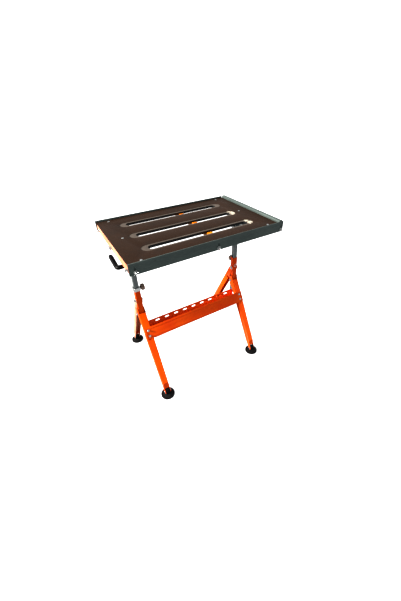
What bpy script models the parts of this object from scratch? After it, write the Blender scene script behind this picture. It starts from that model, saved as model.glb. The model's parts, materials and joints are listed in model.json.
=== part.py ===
"""Folding welding table: slotted steel top on two telescoping uprights with A-frame legs.

Metres, +Z up, X along the long side of the top, the working side faces -Y.
"""

import math

import bmesh
import bpy
from mathutils import Matrix, Vector

# ---- driving dimensions -------------------------------------------------------------
GAP = 0.0003  # clearance between two pieces that touch

TOP_LENGTH = 0.732
TOP_WIDTH = 0.486
TOP_THICK = 0.004
SURFACE_Z = 0.852  # working surface above the floor

SLOT_HALF_LENGTH = TOP_LENGTH / 2 - 0.116
SLOT_HALF_WIDTH = 0.017
RIM_HALF_LENGTH = SLOT_HALF_LENGTH + 0.029
RIM_HALF_WIDTH = SLOT_HALF_WIDTH + 0.011
RIM_DEPTH = 0.0012
LIP_DEPTH = 0.0140  # turned-down lip of each slot, below the surface
LIP_WALL = 0.0020
SLOT_PITCH = 0.141

RIVET_X = TOP_LENGTH / 2 - 0.056
RIVET_Y = TOP_WIDTH / 2 - 0.020
RIVET_RADIUS = 0.0055

UPRIGHT_X = TOP_LENGTH / 2 - 0.069  # centre plane of each upright and its legs
TUBE_SIZE = 0.0234
TUBE_WALL = 0.002
SLEEVE_WALL = 0.0017
SLEEVE_SIZE = TUBE_SIZE + 2 * GAP + 2 * SLEEVE_WALL
SLEEVE_TOP_Z = 0.572  # left sleeve, which carries the clamp collar
RIGHT_SLEEVE_TOP_Z = 0.582
SLEEVE_BOTTOM_Z = 0.385
TUBE_BOTTOM_Z = 0.336
COLLAR_SIZE = SLEEVE_SIZE + 0.006
COLLAR_HEIGHT = 0.020
TRAVEL_DOWN = 0.080
TRAVEL_UP = 0.070

HINGE_Z = SURFACE_Z - 0.086
TUBE_TOP_Z = HINGE_Z + 0.024
LOCK_RADIUS = 0.045  # hinge centre to the tilt lock stud
TILT_PLATE_THICK = 0.003
HINGE_BOLT_RADIUS = 0.005
LOCK_STUD_RADIUS = 0.004

CHANNEL_WALL = 0.0025
CHANNEL_DEPTH = 0.038
EDGE_BAR_RIGHT_X = TOP_LENGTH / 2 + 0.0225
BRACE_X = 0.048
BRACE_WIDTH = 0.025
BRACE_HEIGHT = 0.022
BRACE_DEPTH = 0.0100  # ceiling of the lip notches that house the brace, below the surface

RAIL_HEIGHT = 0.050
RAIL_THICK = 0.003
FRONT_RAIL_RISE = 0.009  # rail top above the surface at rest
BACK_RAIL_RISE = 0.008
RIGHT_RAIL_RISE = 0.012
RAIL_TRAVEL = 0.018
RIGHT_RAIL_WIDTH = 0.022
RAIL_BOLT_Z = SURFACE_Z - 0.030
RAIL_BOLT_RADIUS = 0.003
SCREW_TAIL = 0.005  # wing screw thread that shows behind the bar
WING_HEIGHT = 0.0135
SIDE_BOLT_Y = TOP_WIDTH / 2 - 0.029
END_BOLT_X = TOP_LENGTH / 2 - 0.021
FRONT_BOLT_XS = (-END_BOLT_X, 0.020, TOP_LENGTH / 2 + 0.010)
BACK_BOLT_XS = (-END_BOLT_X, 0.000, END_BOLT_X)

LEG_WALL = 0.002
FRONT_LEG_TOP_Z = 0.440  # where the front leg line crosses the upright axis
FRONT_FOOT_Y = -0.234
REAR_PIVOT_Z = 0.514
REAR_FOOT_Y = 0.257
PIN_Z = 0.028  # foot pin above the floor
LEG_FRONT_V = SLEEVE_SIZE / 2 + 0.0023
LEG_BACK_V = SLEEVE_SIZE / 2 + 0.0003
REAR_WEB_V = SLEEVE_SIZE / 2 + 0.0021
LEG_BOLT_Z = 0.426
LEG_BOLT_RADIUS = 0.004
FORK_RADIUS = 0.010
FORK_LENGTH = 0.050
REAR_INNER = SLEEVE_SIZE + 2 * GAP
REAR_OUTER = REAR_INNER + 2 * LEG_WALL
FRONT_INNER = REAR_OUTER + 2 * GAP
FRONT_OUTER = FRONT_INNER + 2 * LEG_WALL
FRONT_TOE_OUTER = 0.0315  # front leg at its fork, after the taper below the crossbar
TOE_NARROWING = (FRONT_OUTER - FRONT_TOE_OUTER) / 2
PIVOT_WASHER_RADIUS = 0.0110
LEG_WASHER_RADIUS = 0.0085
KNOB_RADIUS = 0.0170
KNOB_LENGTH = 0.0220
KNOB_NECK = LEG_BOLT_RADIUS + 0.0012  # screw tip, wider than the slot it bears across
KNOB_DROP = 0.018  # right knob below the mouth of its sleeve
NOTCH_HALF_WIDTH = LEG_BOLT_RADIUS + 0.0015  # rear leg notch that closes over the leg bolt
PIN_RADIUS = 0.004
PAD_RADIUS = 0.0375
PAD_HEIGHT = 0.009

CROSSBAR_TOP_Z = 0.366
CROSSBAR_FACE = 0.064
CROSSBAR_DEPTH = 0.040
CROSSBAR_WALL = 0.002
CROSSBAR_SCREW_RADIUS = 0.003

# ---- colours ------------------------------------------------------------------------
MILL_STEEL = ((0.075, 0.055, 0.045, 1.0), 0.55, 0.8)
RAIL_STEEL = ((0.060, 0.068, 0.066, 1.0), 0.50, 0.8)
ORANGE = ((0.800, 0.110, 0.010, 1.0), 0.40, 0.0)
TUBE_STEEL = ((0.210, 0.230, 0.230, 1.0), 0.40, 0.9)
ZINC = ((0.620, 0.620, 0.600, 1.0), 0.35, 1.0)
RUBBER = ((0.015, 0.015, 0.015, 1.0), 0.80, 0.0)
GRIP = ((0.012, 0.012, 0.012, 1.0), 0.55, 0.0)
KNOB_METAL = ((0.300, 0.250, 0.220, 1.0), 0.50, 0.7)
BRACE_ORANGE = ((0.700, 0.130, 0.020, 1.0), 0.45, 0.0)


def clear_scene():
    for obj in list(bpy.data.objects):
        bpy.data.objects.remove(obj, do_unlink=True)


def material(name, look):
    mat = bpy.data.materials.new(name)
    mat.use_nodes = True
    shader = mat.node_tree.nodes["Principled BSDF"]
    shader.inputs["Base Color"].default_value = look[0]
    shader.inputs["Roughness"].default_value = look[1]
    shader.inputs["Metallic"].default_value = look[2]
    mat.diffuse_color = look[0]
    return mat


def to_object(name, bm, look, origin=(0.0, 0.0, 0.0)):
    bmesh.ops.recalc_face_normals(bm, faces=bm.faces)
    bmesh.ops.translate(bm, verts=bm.verts, vec=-Vector(origin))
    mesh = bpy.data.meshes.new(name)
    bm.to_mesh(mesh)
    bm.free()
    obj = bpy.data.objects.new(name, mesh)
    obj.location = origin
    bpy.context.scene.collection.objects.link(obj)
    if look is not None:
        mesh.materials.append(material(name, look))
    return obj


def cutter(bm, index, owner):
    obj = to_object(owner.name + "_cut_" + str(index), bm, None)
    obj.hide_render = True
    obj.display_type = "WIRE"
    return obj


def apply_boolean(obj, shapes, operation):
    """Cuts or joins each shape, one Boolean for each."""
    for index, bm in enumerate(shapes):
        tool = cutter(bm, operation[0].lower() + str(index), obj)
        modifier = obj.modifiers.new(operation.lower() + str(index), "BOOLEAN")
        modifier.operation = operation
        modifier.solver = "EXACT"
        modifier.object = tool


def cut(obj, shapes):
    apply_boolean(obj, shapes, "DIFFERENCE")


def join(obj, shapes):
    apply_boolean(obj, shapes, "UNION")


def place(axis, a, b, along):
    """Point whose in-plane coordinates are a, b and whose coordinate along the axis is given."""
    if axis == "X":
        return (along, a, b)
    if axis == "Y":
        return (a, along, b)
    return (a, b, along)


def prism(outline, axis, low, high):
    bm = bmesh.new()
    verts = [bm.verts.new(place(axis, a, b, low)) for a, b in outline]
    face = bm.faces.new(verts)
    lifted = bmesh.ops.extrude_face_region(bm, geom=[face])["geom"]
    moved = [item for item in lifted if isinstance(item, bmesh.types.BMVert)]
    bmesh.ops.translate(bm, verts=moved, vec=Vector(place(axis, 0.0, 0.0, high - low)))
    bmesh.ops.recalc_face_normals(bm, faces=bm.faces)
    return bm


def box(x0, x1, y0, y1, z0, z1):
    return prism([(x0, y0), (x1, y0), (x1, y1), (x0, y1)], "Z", z0, z1)


def disc(a, b, radius, sides=16):
    step = 2 * math.pi / sides
    return [
        (a + radius * math.cos(i * step), b + radius * math.sin(i * step))
        for i in range(sides)
    ]


def bore(axis, a, b, radius, low, high, sides=16):
    return prism(disc(a, b, radius, sides), axis, low, high)


def stadium(x, y, half_length, half_width, sides=12):
    """Rounded slot along the first coordinate."""
    points = []
    reach = half_length - half_width
    for side in (1, -1):
        for i in range(sides + 1):
            angle = side * (-math.pi / 2 + math.pi * i / sides)
            if side > 0:
                points.append(
                    (x + reach + half_width * math.cos(angle), y + half_width * math.sin(angle))
                )
            else:
                points.append(
                    (x - reach - half_width * math.cos(angle), y + half_width * math.sin(angle))
                )
    return points


def radius_at(shape, angle):
    """Ring radius in one direction, for a round, hexagonal or winged section."""
    kind, size = shape
    if kind == "hex":
        return size / math.cos((angle % (math.pi / 3)) - math.pi / 6)
    if kind == "wing":
        fold = abs(((angle + math.pi / 2) % math.pi) - math.pi / 2)
        return size * 2.1 if fold < 0.30 else size
    return size


def turned(axis, a, b, rings, sides=12):
    """Closed rod from a list of (position, shape) rings along the axis."""
    bm = bmesh.new()
    loops = []
    for position, shape in rings:
        loop = []
        for i in range(sides):
            angle = 2 * math.pi * i / sides
            r = radius_at(shape, angle)
            point = place(axis, a + r * math.cos(angle), b + r * math.sin(angle), position)
            loop.append(bm.verts.new(point))
        loops.append(loop)
    for one, two in zip(loops, loops[1:]):
        for i in range(sides):
            j = (i + 1) % sides
            bm.faces.new((one[i], one[j], two[j], two[i]))
    bm.faces.new(loops[0])
    bm.faces.new(loops[-1])
    bmesh.ops.recalc_face_normals(bm, faces=bm.faces)
    return bm


def stepped(axis, a, b, sections, sides=12):
    """Closed rod of sections, each (start, end, shape)."""
    rings = []
    for start, end, shape in sections:
        rings.append((start, shape))
        rings.append((end, shape))
    cleaned = [rings[0]]
    for ring in rings[1:]:
        if abs(ring[0] - cleaned[-1][0]) > 1e-9 or ring[1] != cleaned[-1][1]:
            cleaned.append(ring)
    return turned(axis, a, b, cleaned, sides)


def smooth(obj):
    for polygon in obj.data.polygons:
        polygon.use_smooth = True
    return obj


# ---- tabletop -----------------------------------------------------------------------
def slot_ys():
    return (-SLOT_PITCH, 0.0, SLOT_PITCH)


def top_plate():
    low = SURFACE_Z - TOP_THICK
    half_x = TOP_LENGTH / 2
    half_y = TOP_WIDTH / 2
    obj = to_object("top_plate", box(-half_x, half_x, -half_y, half_y, low, SURFACE_Z), MILL_STEEL)
    lips = []
    shapes = []
    for y in slot_ys():
        collar = stadium(0.0, y, SLOT_HALF_LENGTH + LIP_WALL, SLOT_HALF_WIDTH + LIP_WALL)
        lips.append(prism(collar, "Z", SURFACE_Z - LIP_DEPTH, SURFACE_Z - TOP_THICK / 2))
        rim = stadium(0.0, y, RIM_HALF_LENGTH, RIM_HALF_WIDTH)
        shapes.append(prism(rim, "Z", SURFACE_Z - RIM_DEPTH, SURFACE_Z + 0.01))
        hole = stadium(0.0, y, SLOT_HALF_LENGTH, SLOT_HALF_WIDTH)
        shapes.append(prism(hole, "Z", low - 0.02, SURFACE_Z + 0.005))
    notch = BRACE_WIDTH / 2 + GAP
    ceiling = SURFACE_Z - BRACE_DEPTH
    shapes.append(box(BRACE_X - notch, BRACE_X + notch, -half_y, half_y, low - 0.02, ceiling))
    join(obj, lips)
    cut(obj, shapes)


def rivets():
    for side, x in (("left", -RIVET_X), ("right", RIVET_X)):
        for row, y in (("front", -RIVET_Y), ("middle", 0.0), ("back", RIVET_Y)):
            low = SURFACE_Z + GAP
            rings = [
                (low, ("round", RIVET_RADIUS)),
                (low + 0.0010, ("round", RIVET_RADIUS)),
                (low + 0.0019, ("round", RIVET_RADIUS * 0.75)),
                (low + 0.0023, ("round", RIVET_RADIUS * 0.35)),
            ]
            smooth(to_object("rivet_" + side + "_" + row, turned("Z", x, y, rings), ZINC))


def channel_inner_x():
    return UPRIGHT_X + TUBE_SIZE / 2 + GAP + TILT_PLATE_THICK + GAP


def channel_outer_x():
    return TOP_LENGTH / 2 - 0.0015


def side_channel(side, sign):
    """Pressed channel under one end of the top, open below."""
    top = SURFACE_Z - TOP_THICK - GAP
    low = top - CHANNEL_DEPTH
    inner = channel_inner_x()
    outer = channel_outer_x()
    reach = TOP_WIDTH / 2 - CHANNEL_WALL - 2 * GAP
    outline = [
        (inner, low),
        (inner, top),
        (outer, top),
        (outer, low),
        (outer - CHANNEL_WALL, low),
        (outer - CHANNEL_WALL, top - CHANNEL_WALL),
        (inner + CHANNEL_WALL, top - CHANNEL_WALL),
        (inner + CHANNEL_WALL, low),
    ]
    outline = [(sign * a, b) for a, b in outline]
    obj = to_object("side_channel_" + side, prism(outline, "Y", -reach, reach), ORANGE)
    ends = sorted((sign * (outer - CHANNEL_WALL - 0.005), sign * (outer + 0.005)))
    shapes = [
        bore("X", y, RAIL_BOLT_Z, RAIL_BOLT_RADIUS + GAP, ends[0], ends[1])
        for y in (-SIDE_BOLT_Y, 0.0, SIDE_BOLT_Y)
    ]
    cut(obj, shapes)


def edge_bar(side, sign, bolt_xs, right_x):
    """Flat bar under the long edge of the top, behind the guide rail."""
    outer = TOP_WIDTH / 2
    ys = sorted((sign * outer, sign * (outer - CHANNEL_WALL)))
    top = SURFACE_Z - TOP_THICK - GAP
    left_x = -channel_outer_x()
    bm = box(left_x, right_x, ys[0], ys[1], top - CHANNEL_DEPTH, top)
    obj = to_object("edge_bar_" + side, bm, ORANGE)
    shapes = [
        bore("Y", x, RAIL_BOLT_Z, RAIL_BOLT_RADIUS + GAP, ys[0] - 0.005, ys[1] + 0.005)
        for x in bolt_xs
    ]
    cut(obj, shapes)


def centre_brace():
    """Inverted channel that crosses through notches in the slot lips at mid-length."""
    top = SURFACE_Z - BRACE_DEPTH - GAP
    low = top - BRACE_HEIGHT
    half = BRACE_WIDTH / 2
    outline = [
        (-half, low),
        (-half, top),
        (half, top),
        (half, low),
        (half - CHANNEL_WALL, low),
        (half - CHANNEL_WALL, top - CHANNEL_WALL),
        (-half + CHANNEL_WALL, top - CHANNEL_WALL),
        (-half + CHANNEL_WALL, low),
    ]
    outline = [(BRACE_X + a, b) for a, b in outline]
    reach = TOP_WIDTH / 2 - CHANNEL_WALL - GAP
    to_object("centre_brace", prism(outline, "Y", -reach, reach), BRACE_ORANGE)


def arc_slot(radius, half_width, start, end, count=20):
    """Curved slot about the hinge, in (y, z)."""
    outer = []
    inner = []
    for i in range(count + 1):
        angle = start + (end - start) * i / count
        outer.append((radius + half_width, angle))
        inner.append((radius - half_width, angle))
    polar = outer + inner[::-1]
    return [(r * math.cos(t), HINGE_Z + r * math.sin(t)) for r, t in polar]


def tilt_plate(side, sign):
    """Quadrant plate that hangs from the channel and carries the top on its hinge."""
    top = SURFACE_Z - TOP_THICK - GAP - CHANNEL_WALL
    radius = LOCK_RADIUS + 0.015
    outline = [(0.062, top), (-0.074, top), (-0.074, top - 0.034)]
    for i in range(25):
        angle = math.pi + math.pi * i / 24
        outline.append((radius * math.cos(angle), HINGE_Z + radius * math.sin(angle)))
    outline.append((0.062, top - 0.034))
    low = UPRIGHT_X + TUBE_SIZE / 2 + GAP
    xs = sorted((sign * low, sign * (low + TILT_PLATE_THICK)))
    obj = to_object(
        "tilt_plate_" + side, prism(outline, "X", xs[0], xs[1]), TUBE_STEEL, (0.0, 0.0, HINGE_Z)
    )
    clear = LOCK_STUD_RADIUS + GAP
    spread = (LOCK_STUD_RADIUS + 0.001) / LOCK_RADIUS
    slot = arc_slot(LOCK_RADIUS, clear, -math.pi - spread, -math.pi / 2 + spread)
    cut(
        obj,
        [
            bore("X", 0.0, HINGE_Z, HINGE_BOLT_RADIUS + GAP, xs[0] - 0.01, xs[1] + 0.01),
            prism(slot, "X", xs[0] - 0.01, xs[1] + 0.01),
        ],
    )


# ---- guide rails --------------------------------------------------------------------
def rail_slot(across, z, top_room):
    """Upright slot whose lower end sits at the bolt."""
    half = RAIL_BOLT_RADIUS + GAP
    reach = (top_room + 2 * half) / 2
    middle = z - half + reach
    return [(a, b) for b, a in stadium(middle, across, reach, half, 8)]


def long_rail(side, sign, rise, bolt_xs, right_x):
    inner = TOP_WIDTH / 2 + GAP
    ys = sorted((sign * inner, sign * (inner + RAIL_THICK)))
    top = SURFACE_Z + rise
    left_x = -TOP_LENGTH / 2 - 0.003
    bm = box(left_x, right_x, ys[0], ys[1], top - RAIL_HEIGHT, top)
    obj = to_object("rail_" + side, bm, RAIL_STEEL)
    shapes = []
    for x in bolt_xs:
        shapes.append(
            prism(rail_slot(x, RAIL_BOLT_Z, RAIL_TRAVEL), "Y", ys[0] - 0.01, ys[1] + 0.01)
        )
    cut(obj, shapes)


def right_rail():
    """Folded guide rail on the right end: short inner leg, flat top, tall outer leg."""
    inner = TOP_LENGTH / 2 + GAP
    outer = inner + RIGHT_RAIL_WIDTH
    top = SURFACE_Z + RIGHT_RAIL_RISE
    wall = 0.002
    fold = 0.004
    outline = [
        (inner, top - 0.014),
        (inner, top - fold),
        (inner + fold, top),
        (outer - fold, top),
        (outer, top - fold),
        (outer, top - RAIL_HEIGHT),
        (outer - wall, top - RAIL_HEIGHT),
        (outer - wall, top - fold - 0.0010),
        (outer - fold - 0.0010, top - wall),
        (inner + fold + 0.0010, top - wall),
        (inner + wall, top - fold - 0.0010),
        (inner + wall, top - 0.014),
    ]
    reach = TOP_WIDTH / 2 - CHANNEL_WALL - GAP
    obj = to_object("rail_right", prism(outline, "Y", -reach, reach), RAIL_STEEL)
    shapes = []
    for y in (-SIDE_BOLT_Y, 0.0, SIDE_BOLT_Y):
        shapes.append(
            prism(rail_slot(y, RAIL_BOLT_Z, RAIL_TRAVEL), "X", outer - wall - 0.003, outer + 0.01)
        )
    cut(obj, shapes)


def wing_screw(name, axis, a, b, back, face, direction, shoulder=None):
    """Wing screw: threaded tail behind the bar, shank, washer face and winged head outside.

    back: coordinate of the inner face of the held stack, face: of its outer face.
    shoulder: start and end of the spacer that keeps a stood-off rail in place.
    """
    d = direction
    r = RAIL_BOLT_RADIUS
    seat = face + d * GAP
    sections = []
    if shoulder is None:
        sections.append((back - d * SCREW_TAIL, seat, ("round", r)))
    else:
        sections.append((back - d * SCREW_TAIL, shoulder[0], ("round", r)))
        sections.append((shoulder[0], shoulder[1], ("round", 0.0052)))
        sections.append((shoulder[1], seat, ("round", r)))
    sections.append((seat, seat + d * 0.0012, ("round", 0.0075)))
    sections.append((seat + d * 0.0012, seat + d * 0.0040, ("round", 0.0052)))
    sections.append((seat + d * 0.0040, seat + d * 0.0105, ("wing", 0.0052)))
    sections.append((seat + d * 0.0105, seat + d * WING_HEIGHT, ("round", r)))
    origin = place(axis, a, b, seat)
    smooth(to_object(name, stepped(axis, a, b, sections), ZINC, origin))


def rail_screws():
    names = ("left", "middle", "right")
    bar_inner = TOP_WIDTH / 2 - CHANNEL_WALL
    rail_outer = TOP_WIDTH / 2 + GAP + RAIL_THICK
    for name, x in zip(names, FRONT_BOLT_XS):
        wing_screw("front_rail_screw_" + name, "Y", x, RAIL_BOLT_Z, -bar_inner, -rail_outer, -1.0)
    for name, x in zip(names, BACK_BOLT_XS):
        wing_screw("back_rail_screw_" + name, "Y", x, RAIL_BOLT_Z, bar_inner, rail_outer, 1.0)
    inner = channel_outer_x() - CHANNEL_WALL
    outer = TOP_LENGTH / 2 + GAP + RIGHT_RAIL_WIDTH
    for name, y in (("front", -SIDE_BOLT_Y), ("middle", 0.0), ("back", SIDE_BOLT_Y)):
        wing_screw(
            "right_rail_screw_" + name,
            "X",
            y,
            RAIL_BOLT_Z,
            inner,
            outer,
            1.0,
            (channel_outer_x() + GAP, outer - 0.002 - GAP),
        )
        wing_screw(
            "left_end_screw_" + name, "X", y, RAIL_BOLT_Z, -inner, -channel_outer_x(), -1.0
        )


# ---- telescoping uprights -----------------------------------------------------------
def inner_tube(side, sign):
    x = sign * UPRIGHT_X
    half = TUBE_SIZE / 2
    bm = box(x - half, x + half, -half, half, TUBE_BOTTOM_Z, TUBE_TOP_Z)
    obj = to_object("inner_tube_" + side, bm, TUBE_STEEL)
    inside = half - TUBE_WALL
    slot_low = LEG_BOLT_Z - TRAVEL_UP - LEG_BOLT_RADIUS - GAP
    slot_high = REAR_PIVOT_Z + TRAVEL_DOWN + LEG_BOLT_RADIUS + GAP
    slot_half = LEG_BOLT_RADIUS + GAP
    slot = stadium((slot_low + slot_high) / 2, 0.0, (slot_high - slot_low) / 2, slot_half, 8)
    slot = [(a, b) for b, a in slot]
    cut(
        obj,
        [
            box(x - inside, x + inside, -inside, inside, TUBE_BOTTOM_Z - 0.01, TUBE_TOP_Z + 0.01),
            prism(slot, "X", x - 0.03, x + 0.03),
            bore("X", 0.0, HINGE_Z, HINGE_BOLT_RADIUS + GAP, x - 0.03, x + 0.03),
            bore(
                "X", 0.0, HINGE_Z - LOCK_RADIUS, LOCK_STUD_RADIUS + GAP, x - 0.03, x + 0.03
            ),
        ],
    )


def hinge_bolt(side, sign):
    inner = UPRIGHT_X - TUBE_SIZE / 2 - GAP
    outer = UPRIGHT_X + TUBE_SIZE / 2 + GAP + TILT_PLATE_THICK + GAP
    sections = [
        (sign * (inner - 0.006), sign * inner, ("hex", 0.0085)),
        (sign * inner, sign * outer, ("round", HINGE_BOLT_RADIUS)),
        (sign * outer, sign * (outer + 0.0015), ("round", 0.0100)),
        (sign * (outer + 0.0015), sign * (outer + 0.0085), ("hex", 0.0085)),
        (sign * (outer + 0.0085), sign * (outer + 0.0110), ("round", HINGE_BOLT_RADIUS)),
    ]
    smooth(to_object("hinge_bolt_" + side, stepped("X", 0.0, HINGE_Z, sections), ZINC))


def lock_stud_outer_x():
    return UPRIGHT_X + TUBE_SIZE / 2 + GAP + TILT_PLATE_THICK + GAP


def lock_stud():
    """Threaded stud of the tilt lock; the lever screws onto its outer end."""
    inner = UPRIGHT_X - TUBE_SIZE / 2 - GAP
    outer = lock_stud_outer_x()
    sections = [
        (-(inner - 0.005), -inner, ("hex", 0.0065)),
        (-inner, -outer, ("round", LOCK_STUD_RADIUS)),
        (-outer, -(outer + 0.0015), ("round", 0.0085)),
        (-(outer + 0.0015), -(outer + 0.0140), ("round", LOCK_STUD_RADIUS)),
    ]
    smooth(
        to_object("lock_stud", stepped("X", 0.0, HINGE_Z - LOCK_RADIUS, sections), ZINC)
    )


def guide_bolt_right():
    inner = UPRIGHT_X - TUBE_SIZE / 2 - GAP
    outer = lock_stud_outer_x()
    sections = [
        (inner - 0.005, inner, ("hex", 0.0065)),
        (inner, outer, ("round", LOCK_STUD_RADIUS)),
        (outer, outer + 0.0015, ("round", 0.0085)),
        (outer + 0.0015, outer + 0.0075, ("hex", 0.0065)),
        (outer + 0.0075, outer + 0.0095, ("round", LOCK_STUD_RADIUS)),
    ]
    bm = stepped("X", 0.0, HINGE_Z - LOCK_RADIUS, sections)
    smooth(to_object("guide_bolt_right", bm, ZINC))


def sweep(points, radii, sides=16):
    """Round bar along a bent path, one ring at each point."""
    bm = bmesh.new()
    loops = []
    for i, point in enumerate(points):
        before = (point - points[i - 1]).normalized() if i else None
        after = (points[i + 1] - point).normalized() if i + 1 < len(points) else None
        along = (before + after).normalized() if before and after else (before or after)
        across = Vector((0.0, 0.0, 1.0)).cross(along).normalized()
        up = along.cross(across).normalized()
        loop = []
        for k in range(sides):
            angle = 2 * math.pi * k / sides
            offset = across * math.cos(angle) + up * math.sin(angle)
            loop.append(bm.verts.new(point + offset * radii[i]))
        loops.append(loop)
    for one, two in zip(loops, loops[1:]):
        for k in range(sides):
            j = (k + 1) % sides
            bm.faces.new((one[k], one[j], two[j], two[k]))
    bm.faces.new(loops[0])
    bm.faces.new(loops[-1])
    bmesh.ops.recalc_face_normals(bm, faces=bm.faces)
    return bm


def lock_lever():
    """L-shaped clamp lever: boss on the stud, short arm outward, long dipped grip."""
    z = HINGE_Z - LOCK_RADIUS
    start = lock_stud_outer_x() + 0.0015 + GAP
    elbow_x = -(start + 0.046)
    path = [
        Vector((-start, 0.0, z)),
        Vector((-(start + 0.010), 0.0, z)),
        Vector((-(start + 0.012), 0.0, z)),
        Vector((-(start + 0.034), 0.0, z - 0.002)),
        Vector((elbow_x + 0.004, 0.002, z - 0.003)),
        Vector((elbow_x, 0.010, z - 0.003)),
        Vector((elbow_x - 0.002, 0.050, z + 0.002)),
        Vector((elbow_x - 0.002, 0.108, z + 0.010)),
        Vector((elbow_x - 0.002, 0.114, z + 0.011)),
    ]
    radii = [0.0085, 0.0085, 0.0065, 0.0070, 0.0080, 0.0080, 0.0085, 0.0085, 0.0045]
    obj = smooth(to_object("lock_lever", sweep(path, radii), GRIP, (0.0, 0.0, z)))
    depth = lock_stud_outer_x() + 0.0140 + GAP
    cut(obj, [bore("X", 0.0, z, LOCK_STUD_RADIUS + GAP, -depth, -start + 0.01)])


# ---- stand --------------------------------------------------------------------------
def sleeve(side, sign, top):
    x = sign * UPRIGHT_X
    half = SLEEVE_SIZE / 2
    bm = box(x - half, x + half, -half, half, SLEEVE_BOTTOM_Z, top)
    obj = to_object("sleeve_" + side, bm, ORANGE)
    inside = TUBE_SIZE / 2 + GAP
    low = SLEEVE_BOTTOM_Z - 0.01
    high = top + 0.01
    radius = LEG_BOLT_RADIUS + GAP
    shapes = [
        box(x - inside, x + inside, -inside, inside, low, high),
        bore("X", 0.0, LEG_BOLT_Z, radius, x - 0.03, x + 0.03),
        bore("X", 0.0, REAR_PIVOT_Z, radius, x - 0.03, x + 0.03),
    ]
    if sign > 0:
        shapes.append(bore("Y", x, top - KNOB_DROP, KNOB_NECK + GAP, 0.005, 0.03))
    cut(obj, shapes)


def collar():
    """Plated clamp collar at the mouth of the left sleeve."""
    x = -UPRIGHT_X
    half = COLLAR_SIZE / 2
    low = SLEEVE_TOP_Z + GAP
    high = low + COLLAR_HEIGHT
    obj = to_object("collar_left", box(x - half, x + half, -half, half, low, high), ZINC)
    inside = TUBE_SIZE / 2 + GAP
    middle = (low + high) / 2
    cut(
        obj,
        [
            box(x - inside, x + inside, -inside, inside, low - 0.01, high + 0.01),
            bore("X", 0.0, middle, KNOB_NECK + GAP, x + 0.002, x + 0.04),
        ],
    )


def knob_sections(start, face):
    """Screw tip, collar and round body of a hand screw along its axis."""
    return [
        (start, face, ("round", KNOB_NECK)),
        (face, face + 0.003, ("round", 0.0085)),
        (face + 0.003, face + 0.0055, ("round", KNOB_RADIUS - 0.002)),
        (face + 0.0055, face + KNOB_LENGTH - 0.0025, ("round", KNOB_RADIUS)),
        (face + KNOB_LENGTH - 0.0025, face + KNOB_LENGTH, ("round", KNOB_RADIUS - 0.002)),
    ]


def height_knobs():
    """Hand screws that press on the inner tubes."""
    start = -UPRIGHT_X + TUBE_SIZE / 2 + GAP
    face = -UPRIGHT_X + COLLAR_SIZE / 2 + 0.003
    z = SLEEVE_TOP_Z + GAP + COLLAR_HEIGHT / 2
    bm = stepped("X", 0.0, z, knob_sections(start, face), 16)
    smooth(to_object("height_knob_left", bm, KNOB_METAL, (face, 0.0, z)))
    start = TUBE_SIZE / 2 + GAP
    face = SLEEVE_SIZE / 2 + 0.003
    z = RIGHT_SLEEVE_TOP_Z - KNOB_DROP
    bm = stepped("Y", UPRIGHT_X, z, knob_sections(start, face), 16)
    smooth(to_object("height_knob_right", bm, KNOB_METAL, (UPRIGHT_X, face, z)))


def leg_frame(top, foot, outward):
    """Maps (distance down the leg, offset to its outer side) to (y, z)."""
    dy = foot[0] - top[0]
    dz = foot[1] - top[1]
    length = math.hypot(dy, dz)
    d = (dy / length, dz / length)
    n = (outward * abs(d[1]), abs(d[0]))

    def to_world(s, v):
        return (top[0] + d[0] * s + n[0] * v, top[1] + d[1] * s + n[1] * v)

    return to_world, length


def front_frame():
    return leg_frame((0.0, FRONT_LEG_TOP_Z), (FRONT_FOOT_Y, PIN_Z), -1.0)


def rear_frame():
    return leg_frame((0.0, REAR_PIVOT_Z), (REAR_FOOT_Y, PIN_Z), 1.0)


def fork_end(at, length, radius):
    """Rounded end around the foot pin, from the outer side to the inner side."""
    points = [(length - FORK_LENGTH * 0.55, radius)]
    for i in range(13):
        angle = math.pi / 2 - math.pi * i / 12
        points.append((length + radius * math.cos(angle), radius * math.sin(angle)))
    points.append((length - FORK_LENGTH * 0.55, -radius))
    return [at(s, v) for s, v in points]


def tapered(bm, at, length, x, narrowing):
    """Narrows a leg solid between the crossbar and the fork, by the same amount at each wall."""
    start = crossbar_top_distance() + CROSSBAR_FACE
    end = length - FORK_LENGTH
    base = at(0.0, 0.0)
    tip = at(1.0, 0.0)
    down = Vector((0.0, tip[0] - base[0], tip[1] - base[1]))
    origin = Vector((0.0, base[0], base[1]))
    for s in (start, end):
        everything = bm.verts[:] + bm.edges[:] + bm.faces[:]
        bmesh.ops.bisect_plane(bm, geom=everything, plane_co=origin + down * s, plane_no=down)
    for vert in bm.verts:
        s = (vert.co - origin).dot(down)
        share = min(max((s - start) / (end - start), 0.0), 1.0)
        vert.co.x -= math.copysign(narrowing * share, vert.co.x - x)
    return bm


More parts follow.
